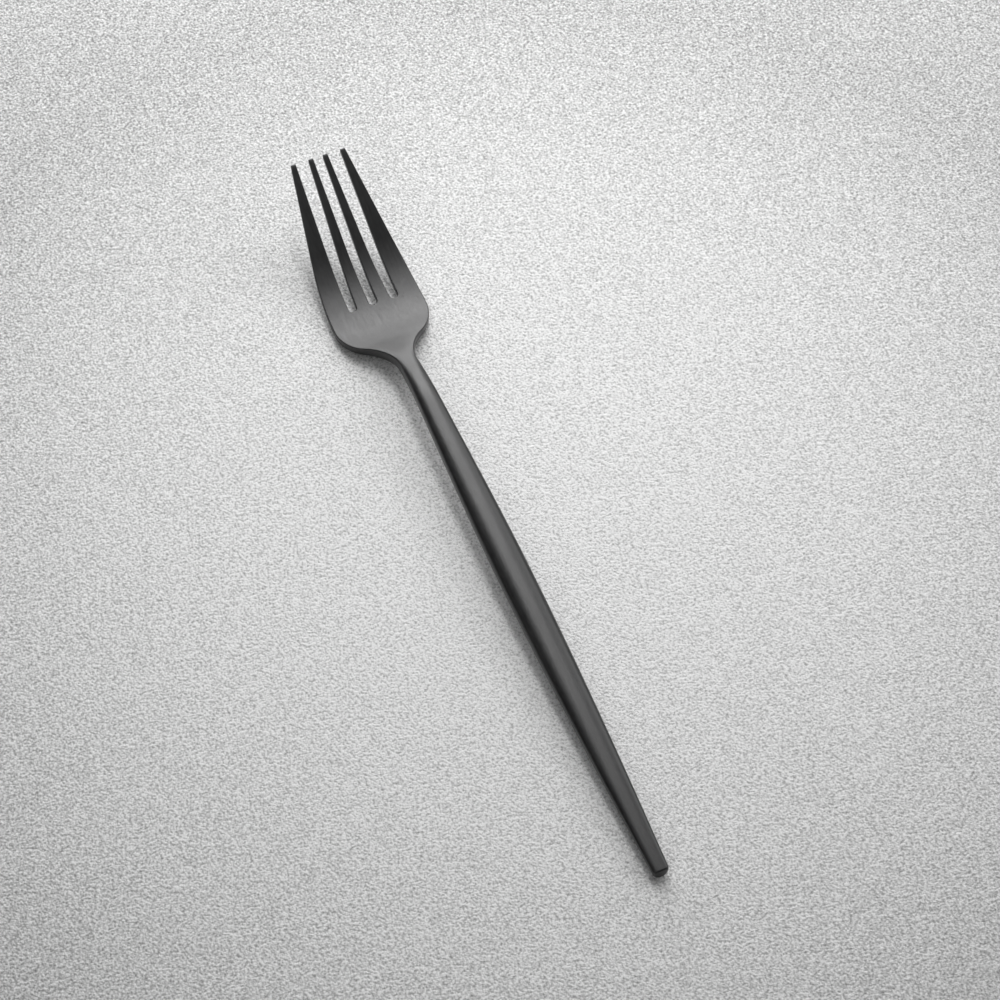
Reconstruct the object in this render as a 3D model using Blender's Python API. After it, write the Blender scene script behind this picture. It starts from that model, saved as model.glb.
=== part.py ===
# Salad fork: a stamped and cranked head whose tang is brazed into the socket of a slim bar handle.
# Stations run along the fork from the handle's end to the tips, heights run up from the table, in metres.
import math

import bmesh
import bpy
import numpy as np
from mathutils import Vector

# Lengths along the fork
HANDLE_LENGTH = 0.1235      # from the handle's end to the joint at the neck
NECK_LENGTH = 0.0147        # from the joint to the foot of the shoulders
PALM_LENGTH = 0.0141        # from the foot of the shoulders to the bottoms of the slots
TINE_LENGTH = 0.0322        # from the bottoms of the slots to the tips

# The handle's section, widest at the belly
END_WIDTH = 0.0037
END_THICKNESS = 0.0029
END_NOSE_LENGTH = 0.0028    # of the oval that rounds the end, seen from above
END_FACE_WIDTH = 0.0008     # left flat at the tip of that oval
END_EDGE_RADIUS = 0.0005    # seen from the side
END_POWER = 3.4             # of the section's outline: 2 is an ellipse, larger is squarer
BELLY_FROM_JOINT = 0.0500
BELLY_WIDTH = 0.0073
BELLY_THICKNESS = 0.0042
BELLY_POWER = 2.7
JOINT_WIDTH = 0.00496
JOINT_THICKNESS = 0.0037
JOINT_POWER = 2.7

# The tang and its socket
TANG_LENGTH = 0.0200
TANG_WIDTH = 0.0024
TANG_THICKNESS = 0.0018
BRAZE_GAP = 0.0003          # round the tang and past its end
SEAM_GAP = 0.0001           # between the two flush faces at the neck

# The head's outline, seen from above
NECK_WIDTH = 0.0042
SHOULDER_ANGLE = math.radians(34)
SHOULDER_FILLET = 0.0125
SHOULDER_CORNER = 0.0052
PALM_WIDTH = 0.0218
TAPER_PAST_SLOTS = 0.0045   # from the slot bottoms to where the sides start to run in
TAPER_RADIUS = 0.0900
TIP_SPREAD = 0.0128         # over the outer edges of the outer tips
TIP_WIDTH = 0.00112
TIP_RADIUS = 0.00045
OUTER_SLOT_SPACING = 0.00984  # between the middles of the two outer slots at their bottoms
OUTER_SLOT_WIDTH = 0.00155
MIDDLE_SLOT_WIDTH = 0.00165
MIDDLE_SLOT_MOUTH = 0.00228

# The head's side view, along the middle of the sheet
SHEET_THICKNESS = 0.0019
TIP_THICKNESS = 0.0012
CREST_HEIGHT = 0.0072
CREST_PAST_JOINT = 0.0064
CREST_RADIUS = 0.0250
CRANK_RUN = 0.0120
CRANK_RADIUS = 0.0080
SEAT_LENGTH = 0.0012        # the flat under the palm that the fork rests on
BEND_RADIUS = 0.0430
TINE_SLOPE = math.radians(30)
TOP_RIM_RADIUS = 0.00025
UNDER_RIM_RADIUS = 0.00045

# The dark coating
COAT_COLOUR = (0.045, 0.045, 0.047, 1.0)
HEAD_ROUGHNESS = 0.34
HANDLE_ROUGHNESS = 0.38

# Facets
RING_POINTS = 32
HANDLE_RINGS = 40
END_RINGS = 6
RIM_SEGMENTS = 2
ARC_TOLERANCE = 0.00001
HEAD_FACET = 0.0010
NECK_LANES = (0.2, 0.4, 0.58, 0.72)  # cuts along the neck, as shares of its half width
NECK_LAYERS = (-0.35, 0.0, 0.35)     # cuts along its sides, as shares of the half thickness
CUT_TOLERANCE = 1e-7        # a cut snaps to points this near its plane
SHARP_ANGLE = math.radians(35)       # edges that bend more than this are shaded crisp

# Stations that follow from the lengths
belly_station = HANDLE_LENGTH - BELLY_FROM_JOINT
shoulder_station = HANDLE_LENGTH + NECK_LENGTH
slot_station = shoulder_station + PALM_LENGTH
tip_station = slot_station + TINE_LENGTH
crest_station = HANDLE_LENGTH + CREST_PAST_JOINT
foot_station = crest_station + CRANK_RUN
crank_angle = math.atan2(CREST_HEIGHT - SHEET_THICKNESS / 2, CRANK_RUN)
seat_station = foot_station + CRANK_RADIUS * math.tan(crank_angle / 2)
bend_station = seat_station + SEAT_LENGTH + BEND_RADIUS * math.tan(TINE_SLOPE / 2)
corner_station = shoulder_station + (PALM_WIDTH - NECK_WIDTH) / 2 * math.tan(SHOULDER_ANGLE)


def arc_points(point, to_before, to_after, turn, reach):
    # Points of the arc that touches both sides of a corner at the given reach from it.
    radius = reach / math.tan(turn / 2)
    inward = (to_before + to_after).normalized()
    centre = point + inward * radius / math.cos(turn / 2)
    start = point + to_before * reach - centre
    finish = point + to_after * reach - centre
    steps = max(3, math.ceil(turn / (2 * math.acos(1 - min(ARC_TOLERANCE / radius, 1.0)))))
    for step in range(steps + 1):
        angle = turn * step / steps
        mixed = start * math.sin(turn - angle) + finish * math.sin(angle)
        yield centre + mixed / math.sin(turn)


def rounded_path(corners):
    # Replaces each corner (a, b, radius) by an arc. Arcs that share too short a side shrink to fit it.
    points = [Vector(corner[:2]) for corner in corners]
    sides = [after - before for before, after in zip(points, points[1:])]
    turns = [0.0] + [first.angle(second) for first, second in zip(sides, sides[1:])] + [0.0]
    reaches = [corner[2] * math.tan(turn / 2) for corner, turn in zip(corners, turns)]
    limits = [1.0] * len(points)
    for index, side in enumerate(sides):
        fit = min(1.0, side.length / max(reaches[index] + reaches[index + 1], ARC_TOLERANCE))
        limits[index] = min(limits[index], fit)
        limits[index + 1] = min(limits[index + 1], fit)
    path = [points[0]]
    for index in range(1, len(points) - 1):
        to_before = -sides[index - 1].normalized()
        to_after = sides[index].normalized()
        reach = reaches[index] * limits[index]
        path.extend(arc_points(points[index], to_before, to_after, turns[index], reach))
    path.append(points[-1])
    return path


def smooth_share(value, start, finish):
    share = min(max((value - start) / (finish - start), 0.0), 1.0)
    return share * share * (3 - 2 * share)


side_view = rounded_path([
    (0.0, END_THICKNESS / 2, 0.0),
    (crest_station, CREST_HEIGHT, CREST_RADIUS),
    (foot_station, SHEET_THICKNESS / 2, CRANK_RADIUS),
    (bend_station, SHEET_THICKNESS / 2, BEND_RADIUS),
    (tip_station, SHEET_THICKNESS / 2 + (tip_station - bend_station) * math.tan(TINE_SLOPE), 0.0),
])
side_stations = [point.x for point in side_view]
side_heights = [point.y for point in side_view]


def centre_height(station):
    return float(np.interp(station, side_stations, side_heights))


def centre_slope(station):
    reach = HEAD_FACET / 2
    return math.atan2(centre_height(station + reach) - centre_height(station - reach), 2 * reach)


def handle_size(station, end, belly, joint, joint_slope):
    # A quarter wave from the end to the belly, then a curve that leaves the joint at the neck's own slope.
    if station < belly_station:
        return end + (belly - end) * math.sin(math.pi / 2 * station / belly_station)
    share = (station - belly_station) / BELLY_FROM_JOINT
    fall = (2 * share**3 - 3 * share**2) * (belly - joint)
    return belly + fall + (share**3 - share**2) * BELLY_FROM_JOINT * joint_slope


def end_rounding(station, reach):
    # A quarter oval, from 0 at the handle's end to 1 at the given reach from it.
    return math.sqrt(1 - max(1 - station / reach, 0.0) ** 2)


def handle_section(station):
    # Half width, half thickness and power of the section, drawn in at the rounded end.
    neck_slope = (NECK_WIDTH - JOINT_WIDTH) / NECK_LENGTH
    width = handle_size(station, END_WIDTH, BELLY_WIDTH, JOINT_WIDTH, neck_slope)
    thickness = handle_size(station, END_THICKNESS, BELLY_THICKNESS, JOINT_THICKNESS, 0.0)
    power = handle_size(station, END_POWER, BELLY_POWER, JOINT_POWER, 0.0)
    width = END_FACE_WIDTH + (width - END_FACE_WIDTH) * end_rounding(station, END_NOSE_LENGTH)
    thickness -= 2 * END_EDGE_RADIUS * (1 - end_rounding(station, END_EDGE_RADIUS))
    return width / 2, thickness / 2, power


def neck_share(station):
    # 1 where the head still has the handle's section, 0 where it is plain sheet.
    return 1 - smooth_share(station, crest_station, foot_station)


def head_half_thickness(station):
    thickness = SHEET_THICKNESS + (JOINT_THICKNESS - SHEET_THICKNESS) * neck_share(station)
    tine_share = max(0.0, (station - slot_station) / TINE_LENGTH)
    thickness += (TIP_THICKNESS - SHEET_THICKNESS) * tine_share
    return thickness / 2 / math.cos(centre_slope(station))


def dark_steel(name, roughness):
    material = bpy.data.materials.new(name)
    material.use_nodes = True
    shader = material.node_tree.nodes["Principled BSDF"]
    shader.inputs["Base Color"].default_value = COAT_COLOUR
    shader.inputs["Metallic"].default_value = 1.0
    shader.inputs["Roughness"].default_value = roughness
    return material


def add_piece(mesh_data, name, parent, material):
    bmesh.ops.recalc_face_normals(mesh_data, faces=mesh_data.faces)
    mesh = bpy.data.meshes.new(name)
    mesh_data.to_mesh(mesh)
    mesh_data.free()
    mesh.shade_smooth()
    mesh.set_sharp_from_angle(angle=SHARP_ANGLE)
    mesh.materials.append(material)
    piece = bpy.data.objects.new(name, mesh)
    piece.parent = parent
    bpy.context.scene.collection.objects.link(piece)


def extruded_cap(mesh_data, cap):
    # Pulls a new end face out of the cap and returns it, still in the cap's place.
    made = bmesh.ops.extrude_face_region(mesh_data, geom=[cap, *cap.edges, *cap.verts])["geom"]
    return next(item for item in made if isinstance(item, bmesh.types.BMFace))


def push_oval(mesh_data, face, width, thickness, length):
    # Shrinks the joint's end face to an oval of the given size, then pushes it back along the handle.
    oval = extruded_cap(mesh_data, face)
    middle = centre_height(HANDLE_LENGTH)
    for vertex in oval.verts:
        vertex.co.x *= width / JOINT_WIDTH
        vertex.co.z = middle + (vertex.co.z - middle) * thickness / JOINT_THICKNESS
    far_end = extruded_cap(mesh_data, oval)
    drop = centre_height(HANDLE_LENGTH) - centre_height(HANDLE_LENGTH - length)
    bmesh.ops.translate(mesh_data, verts=far_end.verts, vec=(0.0, -length, -drop))


def place_ring(face, station):
    half_width, half_thickness, power = handle_section(station)
    height = centre_height(station)
    for index, vertex in enumerate(face.verts):
        angle = 2 * math.pi * index / RING_POINTS
        across = math.copysign(abs(math.cos(angle)) ** (2 / power), math.cos(angle))
        up = math.copysign(abs(math.sin(angle)) ** (2 / power), math.sin(angle))
        vertex.co = (across * half_width, station, height + up * half_thickness)


def build_handle(parent):
    mesh_data = bmesh.new()
    bmesh.ops.create_circle(mesh_data, cap_ends=True, segments=RING_POINTS, radius=1.0)
    cap = mesh_data.faces[:][0]
    end_turns = np.linspace(0, math.pi / 2, END_RINGS)
    end_stations = END_NOSE_LENGTH * (1 - np.cos(end_turns))
    stations = [*end_stations, *np.linspace(END_NOSE_LENGTH, HANDLE_LENGTH, HANDLE_RINGS)[1:]]
    place_ring(cap, stations[0])
    for station in stations[1:]:
        cap = extruded_cap(mesh_data, cap)
        place_ring(cap, station)
    socket_width = TANG_WIDTH + 2 * BRAZE_GAP
    socket_thickness = TANG_THICKNESS + 2 * BRAZE_GAP
    push_oval(mesh_data, cap, socket_width, socket_thickness, TANG_LENGTH + BRAZE_GAP)
    add_piece(mesh_data, "handle", parent, dark_steel("handle_steel", HANDLE_ROUGHNESS))


def head_outline():
    # Right half, from the joint round the tines to the middle of the middle slot.
    tip_outer = TIP_SPREAD / 2
    inner_tip = MIDDLE_SLOT_MOUTH / 2
    slot_inner = (OUTER_SLOT_SPACING - OUTER_SLOT_WIDTH) / 2
    slot_outer = (OUTER_SLOT_SPACING + OUTER_SLOT_WIDTH) / 2
    half_slot = MIDDLE_SLOT_WIDTH / 2
    path = rounded_path([
        (JOINT_WIDTH / 2, HANDLE_LENGTH + SEAM_GAP, 0.0),
        (NECK_WIDTH / 2, shoulder_station, SHOULDER_FILLET),
        (PALM_WIDTH / 2, corner_station, SHOULDER_CORNER),
        (PALM_WIDTH / 2, slot_station + TAPER_PAST_SLOTS, TAPER_RADIUS),
        (tip_outer, tip_station, TIP_RADIUS),
        (tip_outer - TIP_WIDTH, tip_station, TIP_RADIUS),
        (slot_outer, slot_station, OUTER_SLOT_WIDTH / 2),
        (slot_inner, slot_station, OUTER_SLOT_WIDTH / 2),
        (inner_tip + TIP_WIDTH, tip_station, TIP_RADIUS),
        (inner_tip, tip_station, TIP_RADIUS),
        (half_slot, slot_station, half_slot),
        (-half_slot, slot_station, 0.0),
    ])
    right = [path[0]]
    for point in path[1:]:
        if point.x > ARC_TOLERANCE and (point - right[-1]).length > ARC_TOLERANCE:
            right.append(point)
    return right


def flat_blank(mesh_data):
    # The outline filled as one face and pulled up into a plate, with its rims rounded except at the joint.
    right = head_outline()
    middle = [Vector((0.0, slot_station))]
    left = [Vector((-point.x, point.y)) for point in reversed(right)]
    half_blank = SHEET_THICKNESS / 2
    corners = [mesh_data.verts.new((point.x, point.y, -half_blank)) for point in right + middle + left]
    top = extruded_cap(mesh_data, mesh_data.faces.new(corners))
    bmesh.ops.translate(mesh_data, verts=top.verts, vec=(0.0, 0.0, SHEET_THICKNESS))
    for height, radius in ((half_blank, TOP_RIM_RADIUS), (-half_blank, UNDER_RIM_RADIUS)):
        rim = []
        for edge in mesh_data.edges:
            on_rim = all(abs(vertex.co.z - height) < ARC_TOLERANCE for vertex in edge.verts)
            at_joint = all(vertex.co.y == right[0].y for vertex in edge.verts)
            if on_rim and not at_joint:
                rim.append(edge)
        bmesh.ops.bevel(mesh_data, geom=rim, offset=radius, segments=RIM_SEGMENTS, profile=0.5,
                        affect="EDGES", clamp_overlap=True, material=-1)


def cut_faces(mesh_data, faces, point, normal):
    geometry = set(faces)
    for face in faces:
        geometry.update(face.edges)
        geometry.update(face.verts)
    bmesh.ops.bisect_plane(mesh_data, geom=list(geometry), dist=CUT_TOLERANCE,
                           plane_co=point, plane_no=normal)


def neck_faces(mesh_data):
    # The faces between the joint's end face and the sheet of the palm.
    found = []
    for face in mesh_data.faces:
        stations = [vertex.co.y for vertex in face.verts]
        if min(stations) < foot_station and max(stations) > min(stations):
            found.append(face)
    return found


def cut_blank(mesh_data):
    # Cross cuts let the blank bend, and cuts along the neck let it turn round.
    joint_station = HANDLE_LENGTH + SEAM_GAP
    stretches = (joint_station, seat_station, seat_station + SEAT_LENGTH, tip_station)
    cross_cuts = list(stretches[1:-1])
    for start, finish in zip(stretches, stretches[1:]):
        facets = math.ceil((finish - start) / HEAD_FACET)
        cross_cuts.extend(np.linspace(start, finish, facets + 1)[1:-1])
    for station in cross_cuts:
        cut_faces(mesh_data, mesh_data.faces[:], (0.0, station, 0.0), (0.0, 1.0, 0.0))
    for share in NECK_LANES:
        for side in (-1, 1):
            lane = (side * share * NECK_WIDTH / 2, 0.0, 0.0)
            cut_faces(mesh_data, neck_faces(mesh_data), lane, (1.0, 0.0, 0.0))
    for share in NECK_LAYERS:
        layer = (0.0, 0.0, share * SHEET_THICKNESS / 2)
        cut_faces(mesh_data, neck_faces(mesh_data), layer, (0.0, 0.0, 1.0))


def bend_blank(mesh_data):
    # Bends the flat blank to the side view and rounds its neck into the handle's section.
    right = head_outline()
    widest = max(range(len(right)), key=lambda index: right[index].x)
    side_at = [point.y for point in right[:widest + 1]]
    side_half_widths = [point.x for point in right[:widest + 1]]
    for vertex in mesh_data.verts:
        across, station, up = vertex.co
        up /= SHEET_THICKNESS / 2
        share = min(abs(across) / np.interp(station, side_at, side_half_widths), 1.0)
        pull = (share**JOINT_POWER + abs(up) ** JOINT_POWER) ** (-1 / JOINT_POWER)
        squeeze = 1 + neck_share(station) * (pull - 1)
        height = centre_height(station) + up * squeeze * head_half_thickness(station)
        vertex.co = (across * squeeze, station, height)


def build_head(parent):
    mesh_data = bmesh.new()
    flat_blank(mesh_data)
    cut_blank(mesh_data)
    bend_blank(mesh_data)
    joint_face = min(mesh_data.faces, key=lambda face: max(vertex.co.y for vertex in face.verts))
    push_oval(mesh_data, joint_face, TANG_WIDTH, TANG_THICKNESS, TANG_LENGTH + SEAM_GAP)
    bmesh.ops.triangulate(mesh_data, faces=mesh_data.faces)
    add_piece(mesh_data, "fork_head", parent, dark_steel("head_steel", HEAD_ROUGHNESS))


for old in list(bpy.data.objects):
    bpy.data.objects.remove(old, do_unlink=True)
fork = bpy.data.objects.new("salad_fork", None)
fork.location = (0.0, -tip_station / 2, 0.0)
bpy.context.scene.collection.objects.link(fork)
build_handle(fork)
build_head(fork)
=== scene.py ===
# Satin black salad fork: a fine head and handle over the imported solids, lit by a tall window behind it.
import math

import bmesh
import bpy
import numpy as np
from mathutils import Matrix, Vector


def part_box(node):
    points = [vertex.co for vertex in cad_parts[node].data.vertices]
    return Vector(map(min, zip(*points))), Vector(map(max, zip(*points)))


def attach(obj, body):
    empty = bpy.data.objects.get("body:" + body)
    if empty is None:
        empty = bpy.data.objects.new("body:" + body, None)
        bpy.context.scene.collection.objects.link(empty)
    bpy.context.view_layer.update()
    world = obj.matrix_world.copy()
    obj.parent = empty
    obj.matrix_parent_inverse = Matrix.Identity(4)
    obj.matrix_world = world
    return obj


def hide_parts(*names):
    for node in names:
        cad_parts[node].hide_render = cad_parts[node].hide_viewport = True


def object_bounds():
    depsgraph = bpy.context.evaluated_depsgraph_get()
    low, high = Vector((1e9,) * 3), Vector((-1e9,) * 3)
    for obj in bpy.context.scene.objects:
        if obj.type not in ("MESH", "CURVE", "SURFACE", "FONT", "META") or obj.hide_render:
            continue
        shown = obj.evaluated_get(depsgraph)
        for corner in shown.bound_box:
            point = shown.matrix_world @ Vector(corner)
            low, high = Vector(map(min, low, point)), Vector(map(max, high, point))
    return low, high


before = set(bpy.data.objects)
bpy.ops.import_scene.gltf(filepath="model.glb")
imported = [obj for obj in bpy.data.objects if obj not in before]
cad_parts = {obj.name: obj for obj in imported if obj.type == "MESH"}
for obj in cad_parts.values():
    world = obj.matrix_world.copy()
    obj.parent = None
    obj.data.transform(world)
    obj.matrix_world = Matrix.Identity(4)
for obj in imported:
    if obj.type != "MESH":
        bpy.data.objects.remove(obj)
cadLow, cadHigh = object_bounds()
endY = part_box("handle")[0].y
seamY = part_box("handle")[1].y
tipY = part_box("fork_head")[1].y
floorZ = cadLow.z
print("frame loaded with", ", ".join(sorted(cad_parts)))


# the fork seen from the side: heights of the middle of the metal above the floor
sideView = {
    "endHeight": 0.00145,
    "crestHeight": 0.00728,
    "crestPastSeam": 0.0047,
    "crestRadius": 0.046,
    "crankRun": 0.0160,
    "crankRadius": 0.020,
    "seatHeight": 0.00145,
    "bendRadius": 0.0366,
    "tipHeight": 0.01707,
    "sheet": 0.0019,
    "crestShare": 0.7,  # the crest's arc rules this share of the crank, the foot's arc the rest
}
sheetMiddle = sideView["sheet"] / 2
heel = sideView["seatHeight"] - sheetMiddle  # the palm is thicker by this along its middle, where it rests
crestY = seamY + sideView["crestPastSeam"]
footY = crestY + sideView["crankRun"]
barSlope = (sideView["crestHeight"] - sideView["endHeight"]) / (crestY - endY)
crankSlope = (sideView["seatHeight"] - sideView["crestHeight"]) / sideView["crankRun"]
seatY = footY - sideView["crankRadius"] * math.tan(math.atan(crankSlope) / 2)
# the straight of the tines runs through the middle of the tips, and a few steps from a guess find its slope
tineSlope = 0.6
for step in range(20):
    bendY = seatY + sideView["bendRadius"] * math.tan(math.atan(tineSlope) / 2)
    tineSlope = (sideView["tipHeight"] - sideView["seatHeight"]) / (tipY - bendY)


def arcHeight(y, cornerY, cornerZ, slopeIn, slopeOut, radius):
    # two straight runs that meet at a corner, with the corner rounded by an arc
    turnIn, turnOut = math.atan(slopeIn), math.atan(slopeOut)
    reach = radius * math.tan(abs(turnOut - turnIn) / 2)
    startY = cornerY - reach * math.cos(turnIn)
    if y <= startY:
        return cornerZ + (y - cornerY) * slopeIn
    if y >= cornerY + reach * math.cos(turnOut):
        return cornerZ + (y - cornerY) * slopeOut
    side = math.copysign(1, turnOut - turnIn)  # 1 where the curve turns up
    centreY = startY - side * radius * math.sin(turnIn)
    centreZ = cornerZ - reach * math.sin(turnIn) + side * radius * math.cos(turnIn)
    return centreZ - side * math.sqrt(radius**2 - (y - centreY) ** 2)


def middleHeight(y):
    if y < crestY + sideView["crestShare"] * sideView["crankRun"]:
        return arcHeight(y, crestY, sideView["crestHeight"], barSlope, crankSlope, sideView["crestRadius"])
    if y < seatY:
        return arcHeight(y, footY, sideView["seatHeight"], crankSlope, 0, sideView["crankRadius"])
    return arcHeight(y, bendY, sideView["seatHeight"], 0, tineSlope, sideView["bendRadius"])


def middleSlope(y, reach=0.0003):
    return (middleHeight(y + reach) - middleHeight(y - reach)) / (2 * reach)


def smoothShare(value, start, finish):
    share = min(max((value - start) / (finish - start), 0), 1)
    return share * share * (3 - 2 * share)


# a socket that takes Python arithmetic
class Channel:
    def __init__(self, shading, socket):
        self.shading = shading
        self.socket = socket

    def math(self, operation, first, second):
        return self.shading.make("ShaderNodeMath", {"operation": operation}, {0: first, 1: second})

    def __add__(self, other):
        return self.math("ADD", self, other)

    __radd__ = __add__

    def __sub__(self, other):
        return self.math("SUBTRACT", self, other)

    def __rsub__(self, other):
        return self.math("SUBTRACT", other, self)

    def __mul__(self, other):
        return self.math("MULTIPLY", self, other)

    __rmul__ = __mul__


class Shading:
    def __init__(self, name):
        self.material = bpy.data.materials.new(name)
        self.material.use_nodes = True
        self.tree = self.material.node_tree
        self.surface = self.tree.nodes["Principled BSDF"]

    def make(self, kind, settings, sockets, output=0):
        node = self.tree.nodes.new(kind)
        for name, value in settings.items():
            setattr(node, name, value)
        self.fill(node, sockets)
        return Channel(self, node.outputs[output])

    def fill(self, node, sockets):
        for name, value in sockets.items():
            if isinstance(value, Channel):
                self.tree.links.new(value.socket, node.inputs[name])
            else:
                node.inputs[name].default_value = value

    def noise(self, vector, scale, detail=2.0, turn=(0, 0, 0)):
        spread = self.make("ShaderNodeMapping", {}, {"Vector": vector, "Scale": scale, "Rotation": turn})
        return self.make("ShaderNodeTexNoise", {}, {"Vector": spread, "Scale": 1.0, "Detail": detail})

    def blend(self, share, first, second):
        # sockets 6 and 7 and output 2 are the colour ones of a Mix node
        return self.make("ShaderNodeMix", {"data_type": "RGBA"}, {"Factor": share, 6: first, 7: second}, 2)


noiseMiddle = 0.5  # the level that a noise swings about
# the finish: a satin black coat over steel that was brushed along the fork, a little uneven
coatLook = {
    "dark": (0.010, 0.010, 0.0102, 1),
    "light": (0.030, 0.030, 0.0306, 1),
    "contrast": 2.0,
    "specular": 0.55,
    "roughness": 0.34,
    "fineGrain": (2600, 650, 2600),  # cycles to the metre across, along and through the fork
    "longGrain": (1500, 60, 1500),
    "patchGrain": (180, 110, 180),
    "patchDetail": 3,
    "fineShare": 0.5,                # of the strokes, the long grain has the rest
    "fineRoughness": 0.14,
    "longRoughness": 0.07,
    "patchRoughness": 0.06,
    "bump": 0.5,
    "bumpDepth": 0.00004,
}


def satinBlack(name):
    shade = Shading(name)
    grain = shade.make("ShaderNodeAttribute", {"attribute_name": "grain"}, {}, "Vector")
    fine = shade.noise(grain, coatLook["fineGrain"])
    long = shade.noise(grain, coatLook["longGrain"])
    patches = shade.noise(grain, coatLook["patchGrain"], coatLook["patchDetail"])
    strokes = fine * coatLook["fineShare"] + long * (1 - coatLook["fineShare"])
    tone = (strokes - noiseMiddle) * coatLook["contrast"] + noiseMiddle
    colour = shade.blend(tone, coatLook["dark"], coatLook["light"])
    roughness = (coatLook["roughness"] + (fine - noiseMiddle) * coatLook["fineRoughness"]
                 + (long - noiseMiddle) * coatLook["longRoughness"]
                 + (patches - noiseMiddle) * coatLook["patchRoughness"])
    bump = shade.make("ShaderNodeBump", {}, {"Strength": coatLook["bump"], "Distance": coatLook["bumpDepth"],
                                             "Height": strokes})
    shade.fill(shade.surface, {"Base Color": colour, "Roughness": roughness, "Normal": bump,
                               "Specular IOR Level": coatLook["specular"]})
    return shade.material


tiny = 1e-7                    # metres, within which two points count as one
cutTolerance = 1e-8
sharpAngle = math.radians(40)  # a harder turn between two faces stays a crisp edge


def addPiece(bm, name, node, material):
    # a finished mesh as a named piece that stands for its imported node
    bmesh.ops.remove_doubles(bm, verts=bm.verts, dist=tiny)
    bmesh.ops.recalc_face_normals(bm, faces=bm.faces)
    mesh = bpy.data.meshes.new(name)
    bm.to_mesh(mesh)
    bm.free()
    mesh.shade_smooth()
    mesh.set_sharp_from_angle(angle=sharpAngle)
    mesh.materials.append(material)
    piece = bpy.data.objects.new(name, mesh)
    bpy.context.scene.collection.objects.link(piece)
    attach(piece, "root")
    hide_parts(node)
    print(name, "has", len(mesh.polygons), "faces")


# the bar handle: a soft oblong section, widest at the belly, cut flat across its slim end
handleSizes = {
    "endInset": 0.0004,
    "endWidth": 0.0035,
    "endThickness": 0.0029,
    "endUpperShare": 0.32,  # how much of the thickness lies above the widest line
    "endPower": 3.4,        # 2 is an oval section, more is squarer
    "endLowerPower": 2.2,
    "endCorner": 0.0008,
    "endFace": 0.0022,
    "endUpperEdge": 0.0003,
    "endLowerEdge": 0.0005,
    "bellyFromSeam": 0.050,
    "bellyWidth": 0.0073,
    "bellyThickness": 0.0042,
    "bellyUpperShare": 0.5,
    "bellyPower": 2.7,
    "seamWidth": 0.00496,
    "seamThickness": 0.0037,
    "seamPower": 3.3,
    "ringPoints": 96,
    "rings": 170,
    "crowding": 1.6,        # draws the rings together at the end
}
bellyY = seamY - handleSizes["bellyFromSeam"]
cutY = endY + handleSizes["endInset"]


def barSize(y, end, belly, seam, seamSlope):
    # a quarter wave from the end to the belly, then a curve that meets the neck at its own slope
    if y < bellyY:
        return end + (belly - end) * math.sin(math.pi / 2 * (y - endY) / (bellyY - endY))
    run = seamY - bellyY
    share = (y - bellyY) / run
    return belly + (2 * share**3 - 3 * share**2) * (belly - seam) + (share**3 - share**2) * run * seamSlope


def ovalShare(y, reach):
    return math.sqrt(1 - max(1 - (y - cutY) / reach, 0) ** 2)


def barSection(y):
    # half width, height of the widest line, reach above and below it, and the two powers
    s = handleSizes
    neckSlope = (headSizes["neckWidth"] - s["seamWidth"]) / headSizes["neckLength"]
    width = barSize(y, s["endWidth"], s["bellyWidth"], s["seamWidth"], neckSlope)
    width = s["endFace"] + (width - s["endFace"]) * ovalShare(y, s["endCorner"])
    thickness = barSize(y, s["endThickness"], s["bellyThickness"], s["seamThickness"], 0)
    upper = thickness * barSize(y, s["endUpperShare"], s["bellyUpperShare"], s["bellyUpperShare"], 0)
    lower = thickness - upper
    widestZ = middleHeight(y) + thickness / 2 - upper
    upper -= s["endUpperEdge"] * (1 - ovalShare(y, s["endUpperEdge"]))
    lower -= s["endLowerEdge"] * (1 - ovalShare(y, s["endLowerEdge"]))
    upperPower = barSize(y, s["endPower"], s["bellyPower"], s["seamPower"], 0)
    lowerPower = barSize(y, s["endLowerPower"], s["bellyPower"], s["seamPower"], 0)
    return width / 2, widestZ, upper, lower, upperPower, lowerPower


def buildHandle():
    s = handleSizes
    bm = bmesh.new()
    bmesh.ops.create_cone(bm, cap_ends=True, segments=s["ringPoints"], radius1=1, radius2=1, depth=1,
                          matrix=Matrix.Translation((0, 0.5, 0)) @ Matrix.Rotation(math.radians(-90), 4, "X"))
    sides = [edge for edge in bm.edges if abs(edge.verts[0].co.y - edge.verts[1].co.y) > 0.5]
    bmesh.ops.subdivide_edges(bm, edges=sides, cuts=s["rings"], use_grid_fill=True)
    grain = bm.verts.layers.float_vector.new("grain")
    for vert in bm.verts:
        turn = math.atan2(vert.co.z, vert.co.x)
        y = cutY + (seamY - cutY) * max(vert.co.y, 0) ** s["crowding"]
        halfWidth, widestZ, upper, lower, upperPower, lowerPower = barSection(y)
        power, reach = (upperPower, upper) if turn > 0 else (lowerPower, lower)
        across = math.copysign(abs(math.cos(turn)) ** (2 / power), math.cos(turn)) * halfWidth
        up = math.copysign(abs(math.sin(turn)) ** (2 / power), math.sin(turn)) * reach
        vert.co = (across, y, widestZ + up)
        vert[grain] = (across, y, vert.co.z - middleHeight(y))
    addPiece(bm, "bar_handle", "handle", satinBlack("handle satin black"))


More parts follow.
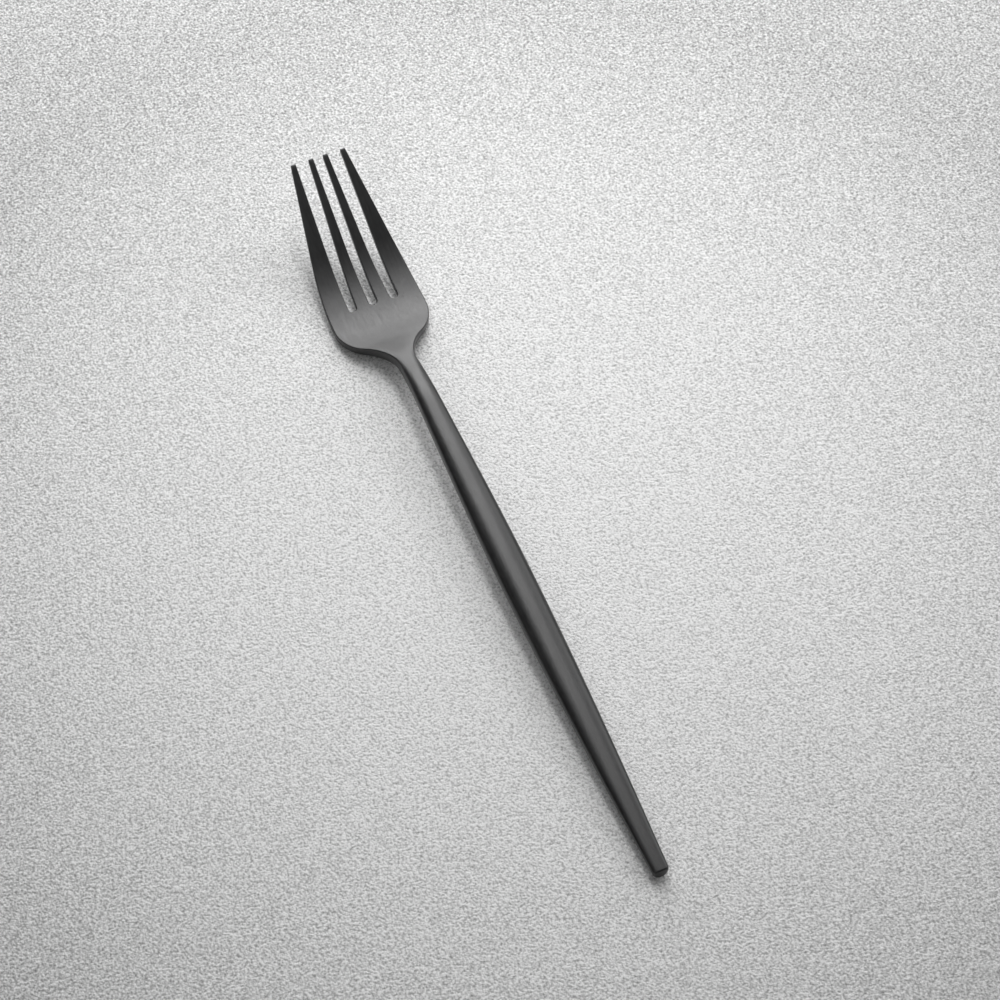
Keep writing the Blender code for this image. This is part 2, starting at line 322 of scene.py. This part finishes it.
# the head: a flat blank with rounded rims, cut into strips and then bent to the side view
headSizes = {
    "neckLength": 0.0144,
    "palmLength": 0.01435,
    "neckWidth": 0.0042,
    "shoulderAngle": math.radians(34),
    "shoulderFillet": 0.0105,
    "shoulderCorner": 0.0090,
    "palmWidth": 0.0218,
    "taperPastSlots": 0.0045,
    "taperRadius": 0.090,
    "tipSpread": 0.0128,
    "tipWidth": 0.00112,
    "tipRadius": 0.0003,
    "tipRound": 0.0006,    # the top of each tip is rounded off over this length
    "tipDrop": 0.8,
    "slotThickness": 0.0014,
    "tipThickness": 0.0012,
    "thinPastSlots": 0.002,
    "slotSpacing": 0.00984,
    "outerSlot": 0.00178,
    "middleSlot": 0.00185,
    "middleMouth": 0.00228,
    "slotEnd": 0.49,       # radius of a slot's closed end as a share of its width
    "slotMargin": 0.003,   # the neck's own outline stops this far behind the slots
    "topRim": 0.00022,
    "topBand": 0.00003,    # a narrow flat beside each rim that keeps the faces flat
    "underRim": 0.00026,
    "underBand": 0.00002,
    "rimSegments": 5,
    "heelBehindSeat": 0.003,
    "heelInner": 0.005,
    "heelOuter": 0.0102,
    "leastSegments": 8,
    "segmentsPerRadian": 22,
    "facet": 0.0005,       # length of the strips that bend
    "tipCuts": (0.05, 0.12, 0.2, 0.3, 0.42, 0.55, 0.7),
    "lane": 0.00035,
    "laneMargin": 0.0005,
    "layers": (-0.4, -0.2, 0, 0.2, 0.4, 0.6),
}
shoulderY = seamY + headSizes["neckLength"]
slotY = shoulderY + headSizes["palmLength"]


def neckShare(y):
    # 1 where the head still has the bar's section, 0 where it is plain sheet
    return 1 - smoothShare(y, crestY, footY)


def headHalfThickness(y):
    s = headSizes
    sheet = sideView["sheet"]
    thickness = sheet + (handleSizes["seamThickness"] - sheet) * neckShare(y)
    thickness += (s["slotThickness"] - sheet) * smoothShare(y, footY, slotY + s["thinPastSlots"])
    thickness += (s["tipThickness"] - s["slotThickness"]) * max(0, (y - slotY) / (tipY - slotY))
    return thickness / 2 * math.sqrt(1 + middleSlope(y) ** 2)


def heelDepth(across, y):
    # how far the underside is let down at a point, most along the palm's middle
    s = headSizes
    heelY = seatY - s["heelBehindSeat"]
    along = smoothShare(y, crestY, heelY) * (1 - smoothShare(y, heelY, slotY + s["thinPastSlots"]))
    return heel * along * (1 - smoothShare(abs(across), s["heelInner"], s["heelOuter"]))


def outlineCorners():
    # right half of the blank from the seam round the tines, as corners with the radius of each
    s = headSizes
    palm = s["palmWidth"] / 2
    cornerY = shoulderY + (palm - s["neckWidth"] / 2) * math.tan(s["shoulderAngle"])
    tipOuter = s["tipSpread"] / 2
    tipInner = s["middleMouth"] / 2
    slotInner = (s["slotSpacing"] - s["outerSlot"]) / 2
    slotOuter = (s["slotSpacing"] + s["outerSlot"]) / 2
    slotRound = s["outerSlot"] * s["slotEnd"]
    return [
        (handleSizes["seamWidth"] / 2, seamY, 0),
        (s["neckWidth"] / 2, shoulderY, s["shoulderFillet"]),
        (palm, cornerY, s["shoulderCorner"]),
        (palm, slotY + s["taperPastSlots"], s["taperRadius"]),
        (tipOuter, tipY, s["tipRadius"]),
        (tipOuter - s["tipWidth"], tipY, s["tipRadius"]),
        (slotOuter, slotY, slotRound),
        (slotInner, slotY, slotRound),
        (tipInner + s["tipWidth"], tipY, s["tipRadius"]),
        (tipInner, tipY, s["tipRadius"]),
        (s["middleSlot"] / 2, slotY, s["middleSlot"] * s["slotEnd"]),
    ]


def cutAll(bm, faces, point, normal):
    geometry = set(faces)
    for face in faces:
        geometry.update(face.edges)
        geometry.update(face.verts)
    bmesh.ops.bisect_plane(bm, geom=list(geometry), dist=cutTolerance, plane_co=point, plane_no=normal)


def behindSlots(bm):
    neckEnd = slotY - headSizes["laneMargin"]
    return [face for face in bm.faces if face.calc_center_median().y < neckEnd]


def roundRim(bm, height, radius, band):
    # rounds the rim of the plate at one height, but not the end that meets the bar
    rim = []
    for edge in bm.edges:
        onRim = all(abs(vert.co.z - height) < tiny for vert in edge.verts)
        atSeam = all(vert.co.y < seamY + tiny for vert in edge.verts)
        if onRim and not atSeam:
            rim.append(edge)
    bmesh.ops.bevel(bm, geom=rim, offset=radius, segments=headSizes["rimSegments"], profile=0.5,
                    affect="EDGES", clamp_overlap=False, material=-1)
    plate = max((face for face in bm.faces if abs(face.calc_center_median().z - height) < tiny),
                key=lambda face: face.calc_area())
    bmesh.ops.inset_region(bm, faces=[plate], thickness=band, use_even_offset=True, use_boundary=True)


def buildHead():
    s = headSizes
    bm = bmesh.new()
    right = outlineCorners()
    left = [(-x, y, radius) for x, y, radius in reversed(right)]
    corners = [bm.verts.new((x, y, -sheetMiddle)) for x, y, radius in right + left]
    bm.faces.new(corners)
    for corner, (x, y, radius) in zip(corners, right + left):
        if radius:
            turn = corner.calc_edge_angle()
            bmesh.ops.bevel(bm, geom=[corner], offset=radius * math.tan(turn / 2), affect="VERTICES",
                            segments=max(s["leastSegments"], round(turn * s["segmentsPerRadian"])),
                            profile=0.5, material=-1)
    neckSide = sorted((vert.co.y, vert.co.x) for vert in bm.verts
                      if vert.co.x > 0 and vert.co.y < slotY - s["slotMargin"])
    sideY, sideX = zip(*neckSide)
    made = bmesh.ops.extrude_face_region(bm, geom=bm.faces[:], use_keep_orig=True)["geom"]
    lifted = [item for item in made if isinstance(item, bmesh.types.BMVert)]
    bmesh.ops.translate(bm, verts=lifted, vec=(0, 0, sideView["sheet"]))
    bmesh.ops.recalc_face_normals(bm, faces=bm.faces)
    roundRim(bm, sheetMiddle, s["topRim"], s["topBand"])
    roundRim(bm, -sheetMiddle, s["underRim"], s["underBand"])
    print("blank rounded", len(bm.faces))
    crossCuts = round((tipY - seamY) / s["facet"])
    cutsY = [seamY + (tipY - seamY) * cut / crossCuts for cut in range(1, crossCuts)]
    cutsY += [tipY - s["tipRound"] * share for share in s["tipCuts"]]
    for crossY in cutsY:
        cutAll(bm, bm.faces[:], (0, crossY, 0), (0, 1, 0))
    lanes = round(s["palmWidth"] / 2 / s["lane"])
    for lane in range(-lanes + 1, lanes):
        cutAll(bm, behindSlots(bm), (lane * s["lane"], 0, 0), (1, 0, 0))
    for layer in s["layers"]:
        cutAll(bm, behindSlots(bm), (0, 0, layer * sheetMiddle), (0, 0, 1))
    print("blank cut", len(bm.faces))
    grain = bm.verts.layers.float_vector.new("grain")
    for vert in bm.verts:
        across, y, up = vert.co
        vert[grain] = (across, y, up)
        up /= sheetMiddle
        squeeze = 1
        if y < footY:
            share = min(abs(across) / np.interp(y, sideY, sideX), 1)
            power = handleSizes["seamPower"]
            pull = (share**power + abs(up) ** power) ** (-1 / power)
            squeeze += neckShare(y) * (pull - 1)
        if up > 0 and y > tipY - s["tipRound"]:
            toTip = (tipY - y) / s["tipRound"]
            up *= 1 - s["tipDrop"] * (1 - math.sqrt(max(1 - (1 - toTip) ** 2, 0)))
        reach = headHalfThickness(y)
        if up < 0:
            reach += heelDepth(across, y)
        vert.co = (across * squeeze, y, middleHeight(y) + up * squeeze * reach)
    addPiece(bm, "tined_head", "fork_head", satinBlack("head satin black"))


buildHandle()
buildHead()


# the pale plastered table top, with a pool of light painted into its colour: lighter at its middle, darker
# away from it
floorLook = {
    "size": 6.0,
    "dark": (0.30, 0.30, 0.30, 1),
    "light": (0.96, 0.96, 0.96, 1),
    "roughness": 0.9,
    "specular": 0.1,
    "grain": 1900,
    "detail": 2,
    "grainTurn": (0.6, 0.45, 0.3),  # a slanted cut through the noise, so that its grid doesn't show
    "contrast": 2.3,
    "level": 0.87,
    # painted pool of light: where the lighter patch is centred, how fast the colour darkens away from it, and
    # the most it darkens
    "middle": (0.002, -0.012, 0),
    "paintedPoolFallOff": 19,       # painted pool of light: how much darker the tone gets with the square of the distance from the middle
    "paintedPoolMostFall": 0.45,
    "bump": 0.6,
    "depth": 0.0005,
}


def buildFloor():
    bm = bmesh.new()
    bmesh.ops.create_grid(bm, x_segments=2, y_segments=2, size=floorLook["size"] / 2)
    bmesh.ops.translate(bm, verts=bm.verts, vec=(0, 0, floorZ))
    mesh = bpy.data.meshes.new("table_top")
    bm.to_mesh(mesh)
    bm.free()
    shade = Shading("pale plaster")
    place = shade.make("ShaderNodeTexCoord", {}, {}, "Object")
    sand = shade.noise(place, (floorLook["grain"],) * 3, floorLook["detail"], floorLook["grainTurn"])
    # painted pool of light: the tone is lowered with the square of the distance from the middle, by at most a
    # set amount
    away = shade.make("ShaderNodeVectorMath", {"operation": "DISTANCE"},
                      {0: place, 1: floorLook["middle"]}, 1)
    fall = shade.make("ShaderNodeMath", {"operation": "MINIMUM"},
                      {0: away * away * floorLook["paintedPoolFallOff"], 1: floorLook["paintedPoolMostFall"]})
    tone = (sand - noiseMiddle) * floorLook["contrast"] + floorLook["level"] - fall
    colour = shade.blend(tone, floorLook["dark"], floorLook["light"])
    bump = shade.make("ShaderNodeBump", {}, {"Strength": floorLook["bump"], "Distance": floorLook["depth"],
                                             "Height": sand})
    shade.fill(shade.surface, {"Base Color": colour, "Roughness": floorLook["roughness"], "Normal": bump,
                               "Specular IOR Level": floorLook["specular"]})
    mesh.materials.append(shade.material)
    floor = bpy.data.objects.new("table_top", mesh)
    bpy.context.scene.collection.objects.link(floor)
    print("floor laid")


buildFloor()


# soft studio lamps: a long tilted window over the far side in four parts, a low one beyond it, weak screens
lampSpots = {
    # place, point that it faces, width, height, radiance
    "window_top": ((0.095, 0.172, 0.443), (0.095, -0.107, 0), 0.10, 0.178, 5.8),
    "window": ((0.095, 0.323, 0.348), (0.095, 0.104, 0), 0.10, 0.178, 10.9),
    "window_bottom": ((0.095, 0.490, 0.249), (0.095, 0.350, 0.059), 0.36, 0.20, 4.4),
    "window_foot": ((0.095, 0.650, 0.131), (0.095, 0.510, -0.059), 0.36, 0.20, 3.1),
    "low_window": ((0.11, 0.79, 0.14), (0, 0.01, 0), 1.00, 0.24, 1.8),
    "right_screen": ((0.531, 0.316, 0.514), (0, 0.01, 0), 0.50, 0.50, 2.15),
    "right_near_screen": ((0.722, -0.053, 0.338), (0, 0.01, 0), 0.50, 0.50, 1.45),
    "left_near_screen": ((-0.439, -0.297, 0.595), (0, 0.01, 0), 0.60, 0.60, 0.75),
    "ceiling": ((0.06, 0.05, 0.80), (0.06, 0.05, 0), 0.50, 0.50, 0.58),
}
roomGlow = 0.005


def addLamp(name, place, aim, width, height, radiance):
    lamp = bpy.data.lights.new(name, "AREA")
    lamp.shape = "RECTANGLE"
    lamp.size = width
    lamp.size_y = height
    lamp.energy = radiance * math.pi * width * height
    holder = bpy.data.objects.new(name, lamp)
    holder.location = place
    holder.rotation_euler = (Vector(aim) - Vector(place)).to_track_quat("-Z", "Y").to_euler()
    holder.visible_camera = False
    bpy.context.scene.collection.objects.link(holder)


def buildLight():
    for name, spot in lampSpots.items():
        addLamp(name, *spot)
    world = bpy.data.worlds.new("room")
    world.use_nodes = True
    glow = world.node_tree.nodes["Background"]
    glow.inputs["Color"].default_value = (1, 1, 1, 1)
    glow.inputs["Strength"].default_value = roomGlow
    bpy.context.scene.world = world
    print("lamps set:", ", ".join(lampSpots))


buildLight()


# the photograph's view: from behind the handle's left side, looking down
cameraView = {
    "lens": 126,
    "sensor": 36,
    "elevation": math.radians(57.08),
    "azimuth": math.radians(-23.24),
    "distance": 0.747,
    "aim": (0.00582, 0.00329, 0),
    "clipStart": 0.05,
}


def buildCamera():
    camera = bpy.data.cameras.new("camera")
    camera.lens = cameraView["lens"]
    camera.sensor_width = cameraView["sensor"]
    camera.clip_start = cameraView["clipStart"]
    turn, rise = cameraView["azimuth"], cameraView["elevation"]
    back = Vector((math.sin(turn) * math.cos(rise), -math.cos(turn) * math.cos(rise), math.sin(rise)))
    holder = bpy.data.objects.new("camera", camera)
    holder.location = Vector(cameraView["aim"]) + back * cameraView["distance"]
    holder.rotation_euler = (-back).to_track_quat("-Z", "Y").to_euler()
    bpy.context.scene.collection.objects.link(holder)
    bpy.context.scene.camera = holder
    print("camera set")


buildCamera()
bpy.context.scene.view_settings.view_transform = "Standard"
